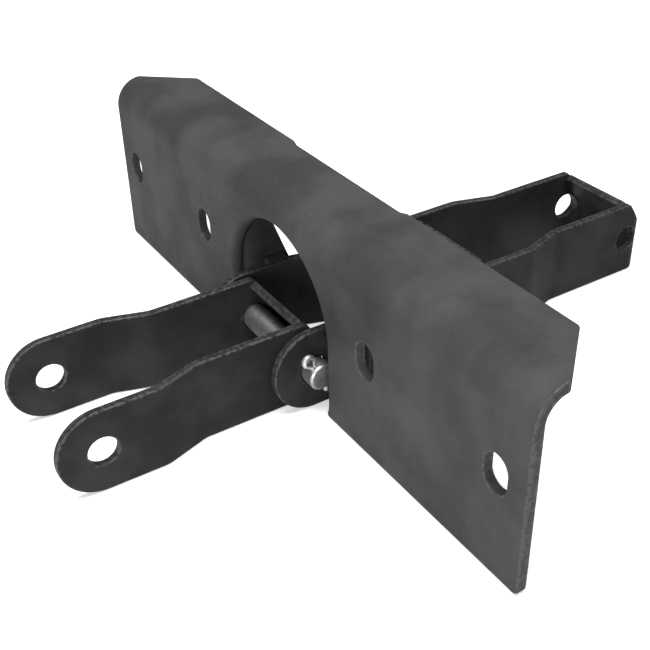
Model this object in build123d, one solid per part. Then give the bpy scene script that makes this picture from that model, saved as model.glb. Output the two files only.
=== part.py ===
from build123d import *
import os
from math import atan2, hypot, tan

# Pinned drag linkage for a trailer hitch: three equal U-shaped flat-bar links joined by two
# clevis pins with split pins, and an arched cross plate carried by the middle link on two lugs.
# Frame: +X along the cross plate, +Y from the front eyes to the closed rear end, +Z up.
# The origin is on the resting plane, at the middle of the bounding box. Millimetres.

# ---- Flat-bar links ----
STRAP_HEIGHT = 50.0
STRAP_THICKNESS = 5.0
PITCH = 125.0                 # pin centre to pin centre
EYE_HALF_WIDTH = 40.0         # outer face of the open, wide end
TAIL_HALF_WIDTH = 31.5        # outer face of the closed, narrow end
JOGGLE_START = 34.0           # behind the eye centre, where the sides turn inwards
JOGGLE_END = 60.0             # behind the eye centre, where they run straight again
JOGGLE_RADIUS = 14.0          # inner bend radius of the joggle
WEB_SETBACK = 14.5            # outer face of the closed end, behind its pin centre
WEB_BEND_RADIUS = 10.0        # outer bend radius of the closed end's two corners
WEB_BREAK_HEIGHT = 30.0       # above this the closed end leans in over the pin, as a welded closing plate
CLOSING_TOP_SETBACK = 0.5     # outer top edge of the closing plate, behind the pin centre
PIN_HOLE_RADIUS = 8.5
EYE_RADIUS = STRAP_HEIGHT / 2
PIN_HEIGHT = STRAP_HEIGHT / 2

# ---- Clevis pins and split pins ----
PIN_RADIUS = 8.0
PIN_HEAD_RADIUS = 12.0
PIN_HEAD_THICKNESS = 5.5
PIN_END_PLAY = 0.4            # between the pin head and the eye
PIN_TAIL_X = 49.5
PIN_CHAMFER = 1.2
SPLIT_PIN_X = 44.6
SPLIT_PIN_RADIUS = 2.2
SPLIT_PIN_HOLE_RADIUS = 2.5
SPLIT_PIN_LOOP_RADIUS = 3.0   # centre line of the loop
SPLIT_PIN_LOOP_REACH = 12.4   # loop centre from the pin axis
SPLIT_PIN_LEG_RADIUS = 1.3
SPLIT_PIN_LEG_SPREAD = 35.0   # degrees each leg is bent out
SPLIT_PIN_LEG_LENGTH = 6.0
PIN_TURNS = {"front": 31.0, "rear": -50.0}  # degrees about X each pin is turned, from its loop straight up

# ---- Cross plate ----
PLATE_LENGTH = 422.0
PLATE_HEIGHT = 115.0
PLATE_DEPTH = 49.0
PLATE_THICKNESS = 6.0
PLATE_BEND_RADIUS = 18.0      # outer
PLATE_FACE_OFFSET = 0.4       # front face behind the middle pin axis
ARCH_HALF_WIDTH = 51.0
ARCH_SPRING_HEIGHT = 45.5     # the straight sides end here and the half circle begins
ARCH_EDGE_RADIUS = 4.5        # the front edge of the arch is rolled over
CLIP_LENGTH = 28.0            # along the plate, at the flange's free edge
CLIP_START = 17.6             # behind the front face, where each clip leaves the end
SLOT_CENTRES_X = (88.5, 190.0)
SLOT_HEIGHT_ABOVE_BASE = 59.0
SLOT_WIDTH = 15.5
SLOT_LENGTH = 21.5

# ---- Lugs that carry the cross plate on the middle link ----
LUG_THICKNESS = 5.0
LUG_BEND_RADIUS = 8.0         # outer
LUG_SIDE_DEPTH = 34.0         # rear edge of the side leg, behind the pin axis
LUG_WING_X = 68.0             # outer edge of the wing behind the plate
LUG_BOTTOM = 4.0
LUG_TOP = 92.0
LUG_CLIP_HEIGHT = 46.0        # the rear edge starts to slope here
LUG_CLIP_DEPTH = 17.5         # how far it slopes forward at the top
LUG_NOTCH_REACH = 17.5        # above and behind the pin axis, clear of the pin head and split pin
WELD_LEG = 4.0
WELD_INSET = 3.0              # how far an outer bead stops short of the lug's corners
OVERCUT = 1.0                 # how far a cut runs past the surface it leaves by

# ---- Worked out from the above ----
FRONT_TIP = -PITCH - EYE_RADIUS
REAR_FACE = 2 * PITCH + WEB_SETBACK
MIDDLE_PIN_Y = -(FRONT_TIP + REAR_FACE) / 2
PLATE_FRONT_Y = MIDDLE_PIN_Y + PLATE_FACE_OFFSET
PLATE_REAR_Y = PLATE_FRONT_Y + PLATE_THICKNESS
PLATE_TAIL_Y = PLATE_FRONT_Y + PLATE_DEPTH
LUG_REAR_Y = MIDDLE_PIN_Y + LUG_SIDE_DEPTH
PIN_CENTRES = {"front": MIDDLE_PIN_Y, "rear": MIDDLE_PIN_Y + PITCH}
LINK_EYES = {
    "front_link": MIDDLE_PIN_Y - PITCH,
    "middle_link": MIDDLE_PIN_Y,
    "rear_link": MIDDLE_PIN_Y + PITCH,
}


def rod(radius, length, x_from, y, z=PIN_HEIGHT):
    """A round bar along +X from x_from, on the line at y and z."""
    return Plane.YZ * Pos(y, z, x_from) * Cylinder(radius, length, align=(Align.CENTER, Align.CENTER, Align.MIN))


def block(x0, x1, y0, y1, z0, z1):
    """A box between two corners."""
    return Pos((x0 + x1) / 2, (y0 + y1) / 2, (z0 + z1) / 2) * Box(x1 - x0, y1 - y0, z1 - z0)


def prism(points, plane, start, length):
    """A straight prism on the polygon of points, drawn on plane and run from start along its normal."""
    return extrude(plane.offset(start) * make_face(Polyline(*points, close=True)), amount=length)


def strap_line(half_width, start, end, web_y, inset):
    """The corner points of one face of the bent strap in plan, from one eye round to the other."""
    wide, narrow = half_width - inset, half_width - inset - (EYE_HALF_WIDTH - TAIL_HALF_WIDTH)
    side = [(wide, -EYE_RADIUS), (wide, start), (narrow, end), (narrow, web_y)]
    return side + [(-x, y) for x, y in reversed(side)]


def closing_plate(top_y, web_y):
    """The plate that leans in from the closed end's break height to the top, between the sides."""
    lean, rise = web_y - top_y, STRAP_HEIGHT - WEB_BREAK_HEIGHT
    inward_y = STRAP_THICKNESS * rise / hypot(lean, rise)
    inward_z = STRAP_THICKNESS * lean / hypot(lean, rise)
    web_face = web_y - STRAP_THICKNESS
    foot_z = STRAP_HEIGHT - inward_z - (web_face - top_y + inward_y) * rise / lean
    section = [
        (top_y, STRAP_HEIGHT), (web_y, WEB_BREAK_HEIGHT), (web_y, foot_z), (web_face, foot_z),
        (top_y - inward_y, STRAP_HEIGHT - inward_z),
    ]
    inner_half_width = TAIL_HALF_WIDTH - STRAP_THICKNESS
    return prism(section, Plane.YZ, -inner_half_width, 2 * inner_half_width)


def link(eye_y):
    """One link: a U of flat bar with joggled sides, rounded eyes, four pin holes and a closing plate."""
    turn = atan2(EYE_HALF_WIDTH - TAIL_HALF_WIDTH, JOGGLE_END - JOGGLE_START)
    back = STRAP_THICKNESS * tan(turn / 2)
    web_y = PITCH + WEB_SETBACK
    outer_radii = [JOGGLE_RADIUS + STRAP_THICKNESS, JOGGLE_RADIUS, WEB_BEND_RADIUS]
    inner_radii = [JOGGLE_RADIUS, JOGGLE_RADIUS + STRAP_THICKNESS, WEB_BEND_RADIUS - STRAP_THICKNESS]
    outer = FilletPolyline(
        *strap_line(EYE_HALF_WIDTH, JOGGLE_START, JOGGLE_END, web_y, 0),
        radius=outer_radii + outer_radii[::-1],
    )
    inner = FilletPolyline(
        *strap_line(EYE_HALF_WIDTH, JOGGLE_START - back, JOGGLE_END - back, web_y - STRAP_THICKNESS,
                    STRAP_THICKNESS),
        radius=inner_radii + inner_radii[::-1],
    )
    ends = [Line(outer @ 0, inner @ 0), Line(outer @ 1, inner @ 1)]
    strap = extrude(make_face([outer, inner, *ends]), amount=STRAP_HEIGHT)
    body_length = web_y + OVERCUT
    side_view = Pos(0, PIN_HEIGHT) * Circle(EYE_RADIUS)
    side_view += Pos(body_length / 2, PIN_HEIGHT) * Rectangle(body_length, STRAP_HEIGHT)
    strap &= extrude(Plane.YZ * side_view, amount=EYE_HALF_WIDTH + OVERCUT, both=True)
    top_y = PITCH + CLOSING_TOP_SETBACK
    slope = [
        (top_y, STRAP_HEIGHT), (web_y, WEB_BREAK_HEIGHT), (web_y + OVERCUT, WEB_BREAK_HEIGHT),
        (web_y + OVERCUT, STRAP_HEIGHT + OVERCUT), (top_y, STRAP_HEIGHT + OVERCUT),
    ]
    strap -= prism(slope, Plane.YZ, -EYE_HALF_WIDTH, 2 * EYE_HALF_WIDTH)
    envelope = extrude(make_face([outer, Line(outer @ 1, outer @ 0)]), amount=STRAP_HEIGHT)
    strap += closing_plate(top_y, web_y) & envelope
    for hole_y in (0, PITCH):
        strap -= rod(PIN_HOLE_RADIUS, 2 * (EYE_HALF_WIDTH + OVERCUT), -EYE_HALF_WIDTH - OVERCUT, hole_y)
    return Pos(0, eye_y, 0) * strap


def cross_plate():
    """The plate bent to an L, with its arch, four upright slots and clipped flange corners."""
    outer = FilletPolyline(
        (PLATE_FRONT_Y, 0), (PLATE_FRONT_Y, PLATE_HEIGHT), (PLATE_TAIL_Y, PLATE_HEIGHT),
        radius=PLATE_BEND_RADIUS,
    )
    under = PLATE_HEIGHT - PLATE_THICKNESS
    inner = FilletPolyline(
        (PLATE_REAR_Y, 0), (PLATE_REAR_Y, under), (PLATE_TAIL_Y, under),
        radius=PLATE_BEND_RADIUS - PLATE_THICKNESS,
    )
    ends = [Line(outer @ 0, inner @ 0), Line(outer @ 1, inner @ 1)]
    section = make_face([outer, inner, *ends])
    plate = extrude(Plane.YZ * section, amount=PLATE_LENGTH / 2, both=True)
    # the arch, open at the base
    through = Plane.XZ.offset(-PLATE_REAR_Y - OVERCUT)
    opening = Pos(0, ARCH_SPRING_HEIGHT) * Circle(ARCH_HALF_WIDTH)
    opening += Pos(0, (ARCH_SPRING_HEIGHT - OVERCUT) / 2) * Rectangle(
        2 * ARCH_HALF_WIDTH, ARCH_SPRING_HEIGHT + OVERCUT)
    plate -= extrude(through * opening, amount=PLATE_THICKNESS + 2 * OVERCUT)
    rim = [
        edge for edge in plate.edges()
        if abs(edge.center().X) <= ARCH_HALF_WIDTH and edge.center().Z > OVERCUT
        and abs(edge.center().Y - PLATE_FRONT_Y) < OVERCUT and edge.length < PLATE_LENGTH / 2
    ]
    plate = fillet(rim, ARCH_EDGE_RADIUS)
    for side in (-1, 1):
        for x in SLOT_CENTRES_X:
            slot = Pos(side * x, SLOT_HEIGHT_ABOVE_BASE) * SlotOverall(SLOT_LENGTH, SLOT_WIDTH, rotation=90)
            plate -= extrude(through * slot, amount=PLATE_THICKNESS + 2 * OVERCUT)
        end_x = side * PLATE_LENGTH / 2
        clip = [
            (end_x, PLATE_FRONT_Y + CLIP_START), (end_x + side * OVERCUT, PLATE_FRONT_Y + CLIP_START),
            (end_x + side * OVERCUT, PLATE_TAIL_Y + OVERCUT),
            (end_x - side * CLIP_LENGTH, PLATE_TAIL_Y + OVERCUT),
            (end_x - side * CLIP_LENGTH, PLATE_TAIL_Y),
        ]
        plate -= prism(clip, Plane.XY, PLATE_HEIGHT / 2, PLATE_HEIGHT)
    return plate


def lug():
    """The lug on the +X side: a bent, notched plate from the link's side to the back of the plate."""
    face_y = PLATE_REAR_Y
    outer = FilletPolyline(
        (EYE_HALF_WIDTH, LUG_REAR_Y), (EYE_HALF_WIDTH, face_y), (LUG_WING_X, face_y), radius=LUG_BEND_RADIUS,
    )
    inner_x = EYE_HALF_WIDTH + LUG_THICKNESS
    inner = FilletPolyline(
        (inner_x, LUG_REAR_Y), (inner_x, face_y + LUG_THICKNESS), (LUG_WING_X, face_y + LUG_THICKNESS),
        radius=LUG_BEND_RADIUS - LUG_THICKNESS,
    )
    ends = [Line(outer @ 0, inner @ 0), Line(outer @ 1, inner @ 1)]
    bent = extrude(Pos(0, 0, LUG_BOTTOM) * make_face([outer, inner, *ends]), amount=LUG_TOP - LUG_BOTTOM)
    notch_rear, notch_top = MIDDLE_PIN_Y + LUG_NOTCH_REACH, PIN_HEIGHT + LUG_NOTCH_REACH
    bent -= block(EYE_HALF_WIDTH - OVERCUT, ARCH_HALF_WIDTH, face_y - OVERCUT, notch_rear, 0, notch_top)
    slope_top_y = LUG_REAR_Y - LUG_CLIP_DEPTH
    slope = [
        (LUG_REAR_Y + OVERCUT, LUG_CLIP_HEIGHT), (LUG_REAR_Y, LUG_CLIP_HEIGHT), (slope_top_y, LUG_TOP),
        (slope_top_y, LUG_TOP + OVERCUT), (LUG_REAR_Y + OVERCUT, LUG_TOP + OVERCUT),
    ]
    return bent - prism(slope, Plane.YZ, EYE_HALF_WIDTH - OVERCUT, LUG_THICKNESS + 2 * OVERCUT)


def link_welds(link_solid, lug_solid):
    """Fillet welds from the lug to the link: down its rear edge and along the link's top edge."""
    x, y = EYE_HALF_WIDTH, LUG_REAR_Y
    reach = WELD_LEG + OVERCUT
    rear = prism(
        [(x - WELD_LEG, y), (x + WELD_LEG, y), (x - OVERCUT, y + reach), (x - WELD_LEG, y + reach)],
        Plane.XY, LUG_BOTTOM + WELD_INSET, LUG_CLIP_HEIGHT - LUG_BOTTOM - 2 * WELD_INSET,
    )
    top_start = PLATE_REAR_Y + LUG_BEND_RADIUS
    top_end = LUG_REAR_Y - WELD_LEG
    top = prism(
        [(x - WELD_LEG, STRAP_HEIGHT), (x, STRAP_HEIGHT), (x, STRAP_HEIGHT + WELD_LEG)],
        Plane.XZ, -top_end, top_end - top_start,
    )
    return [rear - link_solid - lug_solid, top]


def plate_welds():
    """Fillet welds from the lug's wing to the back of the cross plate: its outer edge and its top edge."""
    x, y = LUG_WING_X, PLATE_REAR_Y
    outer = prism(
        [(x, y), (x + WELD_LEG, y), (x, y + WELD_LEG)],
        Plane.XY, LUG_BOTTOM + WELD_INSET, LUG_TOP - LUG_BOTTOM - 2 * WELD_INSET,
    )
    top = prism(
        [(y, LUG_TOP), (y + WELD_LEG, LUG_TOP), (y, LUG_TOP + WELD_LEG)],
        Plane.YZ, ARCH_HALF_WIDTH, LUG_WING_X - ARCH_HALF_WIDTH - WELD_INSET,
    )
    return [outer, top]


def turned(shape, y, turn):
    """The shape turned about the pin axis at y."""
    return Pos(0, y, PIN_HEIGHT) * Rot(turn, 0, 0) * Pos(0, -y, -PIN_HEIGHT) * shape


def clevis_pin(y):
    """A headed pin along X, its head on the -X side and an upright cross hole near its chamfered tail."""
    head_face = -EYE_HALF_WIDTH - PIN_END_PLAY
    pin = rod(PIN_RADIUS, PIN_TAIL_X - head_face, head_face, y)
    pin = chamfer(pin.edges().filter_by(GeomType.CIRCLE).sort_by(Axis.X)[-1], PIN_CHAMFER)
    head = rod(PIN_HEAD_RADIUS, PIN_HEAD_THICKNESS, head_face - PIN_HEAD_THICKNESS, y)
    head = chamfer(head.edges().filter_by(GeomType.CIRCLE).sort_by(Axis.X)[0], PIN_CHAMFER)
    cross_hole = Pos(SPLIT_PIN_X, y, PIN_HEIGHT) * Cylinder(SPLIT_PIN_HOLE_RADIUS, 3 * PIN_RADIUS)
    return pin + head - cross_hole


def split_pin(y):
    """A split pin down through the tail of a clevis pin, its loop on top and its legs bent out."""
    loop_z = PIN_HEIGHT + SPLIT_PIN_LOOP_REACH
    foot_z = PIN_HEIGHT - PIN_RADIUS - 1
    shank_top = loop_z - SPLIT_PIN_LOOP_RADIUS
    shank = Pos(SPLIT_PIN_X, y, foot_z) * Cylinder(
        SPLIT_PIN_RADIUS, shank_top - foot_z, align=(Align.CENTER, Align.CENTER, Align.MIN))
    loop = Pos(SPLIT_PIN_X, y, loop_z) * Rot(0, 90, 0) * Torus(SPLIT_PIN_LOOP_RADIUS, SPLIT_PIN_LEG_RADIUS)
    result = shank + loop
    for side in (-1, 1):
        hip = Pos(SPLIT_PIN_X, y + side * (SPLIT_PIN_RADIUS - SPLIT_PIN_LEG_RADIUS), foot_z + 0.5)
        result += hip * Rot(180 + side * SPLIT_PIN_LEG_SPREAD, 0, 0) * Cylinder(
            SPLIT_PIN_LEG_RADIUS, SPLIT_PIN_LEG_LENGTH, align=(Align.CENTER, Align.CENTER, Align.MIN))
    return result


parts = {name: link(eye_y) for name, eye_y in LINK_EYES.items()}
parts["cross_plate"] = cross_plate()
right_lug = lug()
right_link_welds = link_welds(parts["middle_link"], right_lug)
right_plate_welds = plate_welds()
parts["right_lug"] = right_lug
parts["right_link_welds"] = Compound(children=right_link_welds)
parts["right_plate_welds"] = Compound(children=right_plate_welds)
parts["left_lug"] = mirror(right_lug, about=Plane.YZ)
parts["left_link_welds"] = Compound(children=[mirror(bead, about=Plane.YZ) for bead in right_link_welds])
parts["left_plate_welds"] = Compound(children=[mirror(bead, about=Plane.YZ) for bead in right_plate_welds])
for place, pin_y in PIN_CENTRES.items():
    parts[f"{place}_pin"] = turned(clevis_pin(pin_y), pin_y, PIN_TURNS[place])
    parts[f"{place}_split_pin"] = turned(split_pin(pin_y), pin_y, PIN_TURNS[place])

os.makedirs("parts", exist_ok=True)
for name, shape in parts.items():
    export_step(shape, f"parts/{name}.step")
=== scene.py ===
"""Looks of a pinned flat-bar hitch linkage that carries an arched cross plate.

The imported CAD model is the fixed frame. Every visible piece is built here in mesh code at the CAD
sizes, rides on its CAD body and stands for its CAD node.
"""

import logging
import math
from collections.abc import Callable
from dataclasses import dataclass, field
from enum import Enum

import bpy
import numpy as np
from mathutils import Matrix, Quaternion, Vector, noise
from mathutils.geometry import delaunay_2d_cdt


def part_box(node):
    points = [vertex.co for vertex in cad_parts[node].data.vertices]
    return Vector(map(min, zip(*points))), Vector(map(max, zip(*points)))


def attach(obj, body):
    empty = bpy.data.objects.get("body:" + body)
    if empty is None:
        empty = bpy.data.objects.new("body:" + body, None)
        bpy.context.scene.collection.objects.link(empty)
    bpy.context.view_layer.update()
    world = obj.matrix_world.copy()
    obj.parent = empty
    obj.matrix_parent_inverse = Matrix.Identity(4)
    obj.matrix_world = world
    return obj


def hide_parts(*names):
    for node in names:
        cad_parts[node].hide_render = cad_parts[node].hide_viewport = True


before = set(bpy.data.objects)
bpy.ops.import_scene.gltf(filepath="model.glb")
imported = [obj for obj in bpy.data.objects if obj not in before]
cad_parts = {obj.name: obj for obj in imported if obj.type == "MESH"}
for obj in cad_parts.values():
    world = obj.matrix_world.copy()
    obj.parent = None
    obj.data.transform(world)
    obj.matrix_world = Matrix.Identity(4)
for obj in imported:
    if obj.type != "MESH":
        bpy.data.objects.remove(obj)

LOG = logging.getLogger("hitch_linkage")
MM = 0.001
QUARTER = math.pi / 2


# ---------------------------------------------------------------- finishes


def srgb(code: str) -> tuple[float, float, float, float]:
    """Turns an sRGB hex colour into Blender's linear colour.

    Args:
        code: Six hex digits, such as "3a3a3b".

    Returns:
        The linear red, green, blue and alpha.
    """
    values = [int(code[i : i + 2], 16) / 255 for i in (0, 2, 4)]
    linear = [v / 12.92 if v <= 0.04045 else ((v + 0.055) / 1.055) ** 2.4 for v in values]
    return (linear[0], linear[1], linear[2], 1.0)


def add_node(
    tree: bpy.types.NodeTree,
    kind: str,
    settings: dict | None = None,
    links: dict | None = None,
) -> bpy.types.Node:
    """Adds one shader node with its settings and links.

    Args:
        tree: The node tree that takes the node.
        kind: Blender's node type name.
        settings: Node properties, or input names or numbers, and their values.
        links: Input names or numbers, and the output sockets that feed them.

    Returns:
        The new node.
    """
    node = tree.nodes.new(kind)
    for key, value in (settings or {}).items():
        if isinstance(key, str) and hasattr(node, key):
            setattr(node, key, value)
        else:
            node.inputs[key].default_value = value
    for key, socket in (links or {}).items():
        tree.links.new(socket, node.inputs[key])
    return node


@dataclass(frozen=True)
class Surface:
    """What the finishes share: a material with a Principled shader and sheet coordinates."""

    name: str

    def start(self) -> tuple[bpy.types.Material, bpy.types.NodeTree, bpy.types.Node]:
        """Makes the empty material.

        Returns:
            The material, its node tree and its Principled shader.
        """
        material = bpy.data.materials.new(self.name)
        material.use_nodes = True
        tree = material.node_tree
        shader = tree.nodes["Principled BSDF"]
        return material, tree, shader

    @staticmethod
    def speckle(
        tree: bpy.types.NodeTree,
        where: bpy.types.NodeSocket,
        size_mm: float,
        detail: float = 3.0,
        stretch: tuple[float, float, float] = (1.0, 1.0, 1.0),
    ) -> bpy.types.NodeSocket:
        """Adds a noise whose patches are about size_mm across.

        Args:
            tree: The node tree that takes the nodes.
            where: Coordinates in millimetres.
            size_mm: The patch size in millimetres.
            detail: The number of finer octaves.
            stretch: How many times longer the patches are along each coordinate.

        Returns:
            The noise's value socket.
        """
        scale = tuple(1.0 / (size_mm * s) for s in stretch)
        moved = add_node(tree, "ShaderNodeVectorMath", {"operation": "MULTIPLY", 1: scale}, {0: where})
        made = add_node(
            tree, "ShaderNodeTexNoise", {"Scale": 1.0, "Detail": detail, "Roughness": 0.55},
            {"Vector": moved.outputs["Vector"]},
        )
        return made.outputs["Fac"]

    @staticmethod
    def ranged(
        tree: bpy.types.NodeTree,
        value: bpy.types.NodeSocket,
        source: tuple[float, float],
        target: tuple[float, float],
    ) -> bpy.types.NodeSocket:
        """Maps a value from one range to another, with smooth ends.

        Args:
            tree: The node tree that takes the node.
            value: The value to map.
            source: The value's own lowest and highest.
            target: What they turn into.

        Returns:
            The mapped value's socket.
        """
        made = add_node(
            tree,
            "ShaderNodeMapRange",
            {
                "interpolation_type": "SMOOTHSTEP",
                "From Min": source[0],
                "From Max": source[1],
                "To Min": target[0],
                "To Max": target[1],
            },
            {"Value": value},
        )
        return made.outputs["Result"]


@dataclass(frozen=True)
class PaintedHotRolledSteel(Surface):
    """Thin black paint over hot-rolled steel.

    The paint lets the mill's cloudy scale and its faint rolling lines through and lies in a fine orange
    peel. Along the sheared edges it turns to dull steel, partly from edge rubbing and partly as a painted
    edge highlight, which is what outlines each bar.
    """

    dark: str
    light: str
    rubbed_and_highlight: str
    roughness: float = 0.5
    gloss: float = 0.05
    cloud_mm: float = 34.0
    rolling_line_mm: float = 2.2
    peel_mm: float = 1.1
    pit_mm: float = 2.6
    # Scales the edge rubbing and its painted edge highlight.
    edge_wear_and_highlight: float = 1.0

    def build(self) -> bpy.types.Material:
        """Builds the paint.

        Returns:
            The finished material.
        """
        material, tree, shader = self.start()
        blank = add_node(tree, "ShaderNodeAttribute", {"attribute_name": "blank"}).outputs["Vector"]
        edge = add_node(tree, "ShaderNodeAttribute", {"attribute_name": "edge"}).outputs["Fac"]
        cloud = self.speckle(tree, blank, self.cloud_mm, 4.0)
        lines = self.speckle(tree, blank, self.rolling_line_mm, 2.0, (28.0, 1.0, 1.0))
        grit = self.speckle(tree, blank, self.pit_mm, 3.0)
        peel = self.speckle(tree, blank, self.peel_mm, 2.0)

        tone = add_node(
            tree, "ShaderNodeMath", {"operation": "MULTIPLY_ADD", 1: 0.22},
            {0: lines, 2: self.ranged(tree, cloud, (0.34, 0.66), (0.0, 0.62))},
        )
        tone = add_node(tree, "ShaderNodeMath", {"operation": "MULTIPLY_ADD", 1: 0.3},
                        {0: grit, 2: tone.outputs[0]})
        paint = add_node(
            tree, "ShaderNodeMix", {"data_type": "RGBA", 6: srgb(self.dark), 7: srgb(self.light)},
            {0: tone.outputs[0]},
        )
        # Dull steel shows along every edge, in broken flecks that the grit sets: partly edge rubbing,
        # partly a painted edge highlight.
        reach = add_node(tree, "ShaderNodeMath", {"operation": "MULTIPLY_ADD", 1: 0.75 * self.edge_wear_and_highlight},
                         {0: edge, 2: self.ranged(tree, grit, (0.3, 0.7), (-0.3, 0.3))})
        bare_and_highlight = self.ranged(tree, reach.outputs[0], (0.45, 0.9), (0.0, 0.75))
        colour = add_node(
            tree, "ShaderNodeMix", {"data_type": "RGBA", 7: srgb(self.rubbed_and_highlight)},
            {0: bare_and_highlight, 6: paint.outputs[2]},
        )
        rough = self.ranged(tree, grit, (0.3, 0.7), (self.roughness - 0.07, self.roughness + 0.08))
        pits = self.ranged(tree, grit, (0.26, 0.42), (0.0, 1.0))
        height = add_node(tree, "ShaderNodeMath", {"operation": "MULTIPLY_ADD", 1: 0.35},
                          {0: peel, 2: pits})
        bump = add_node(tree, "ShaderNodeBump", {"Strength": 0.55, "Distance": 0.06 * MM},
                        {"Height": height.outputs[0]})
        shader.inputs["IOR"].default_value = 1.5
        shader.inputs["Specular IOR Level"].default_value = self.gloss
        tree.links.new(colour.outputs[2], shader.inputs["Base Color"])
        tree.links.new(rough, shader.inputs["Roughness"])
        tree.links.new(bump.outputs["Normal"], shader.inputs["Normal"])
        tree.links.new(self.ranged(tree, bare_and_highlight, (0.0, 0.75), (0.0, 0.6)), shader.inputs["Metallic"])
        return material


@dataclass(frozen=True)
class TurnedSteel(Surface):
    """Mild steel bar turned on a lathe and lightly oiled.

    Fine rings round the axis break up the highlight, and thin brown-grey oil film dulls it in patches.
    """

    bright: str = "d0d0d2"
    oiled: str = "989796"
    ring_mm: float = 0.8
    film_mm: float = 9.0

    def build(self) -> bpy.types.Material:
        """Builds the turned steel.

        Returns:
            The finished material.
        """
        material, tree, shader = self.start()
        blank = add_node(tree, "ShaderNodeAttribute", {"attribute_name": "blank"}).outputs["Vector"]
        # A real feed mark is about 0.1 mm wide, and is drawn coarser so that it shows.
        rings = self.speckle(tree, blank, self.ring_mm, 2.0, (1.0, 40.0, 40.0))
        film = self.speckle(tree, blank, self.film_mm, 4.0)
        tone = self.ranged(tree, film, (0.36, 0.62), (0.0, 1.0))
        colour = add_node(
            tree, "ShaderNodeMix", {"data_type": "RGBA", 6: srgb(self.bright), 7: srgb(self.oiled)},
            {0: tone},
        )
        rough = self.ranged(tree, film, (0.3, 0.7), (0.42, 0.6))
        bump = add_node(tree, "ShaderNodeBump", {"Strength": 0.5, "Distance": 0.03 * MM}, {"Height": rings})
        shader.inputs["Metallic"].default_value = 1.0
        tree.links.new(colour.outputs[2], shader.inputs["Base Color"])
        tree.links.new(rough, shader.inputs["Roughness"])
        tree.links.new(bump.outputs["Normal"], shader.inputs["Normal"])
        return material


@dataclass(frozen=True)
class ZincPlatedWire(Surface):
    """Soft drawn steel wire with a thin zinc plating.

    Faint drawing lines run along it, and the plating has small dull spangles.
    """

    bright: str = "dedfe1"
    dull: str = "b9babd"
    spangle_mm: float = 1.4
    draw_mm: float = 0.35

    def build(self) -> bpy.types.Material:
        """Builds the plated wire.

        Returns:
            The finished material.
        """
        material, tree, shader = self.start()
        blank = add_node(tree, "ShaderNodeAttribute", {"attribute_name": "blank"}).outputs["Vector"]
        spangle = self.speckle(tree, blank, self.spangle_mm, 2.0)
        lines = self.speckle(tree, blank, self.draw_mm, 1.0, (30.0, 1.0, 1.0))
        colour = add_node(
            tree, "ShaderNodeMix", {"data_type": "RGBA", 6: srgb(self.bright), 7: srgb(self.dull)},
            {0: self.ranged(tree, spangle, (0.35, 0.65), (0.0, 1.0))},
        )
        bump = add_node(tree, "ShaderNodeBump", {"Strength": 0.4, "Distance": 0.03 * MM}, {"Height": lines})
        shader.inputs["Metallic"].default_value = 1.0
        tree.links.new(colour.outputs[2], shader.inputs["Base Color"])
        tree.links.new(self.ranged(tree, spangle, (0.3, 0.7), (0.42, 0.58)), shader.inputs["Roughness"])
        tree.links.new(bump.outputs["Normal"], shader.inputs["Normal"])
        return material


# ---------------------------------------------------------------- geometry


class Lie(Enum):
    """How a bent sheet's section lies in the row frame."""

    PLAN = "plan"  # section in X and Y, width along Z
    PLAN_MIRRORED = "plan mirrored"  # the same, with X reversed
    SIDE = "side"  # section in Y and Z, width along X


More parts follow.
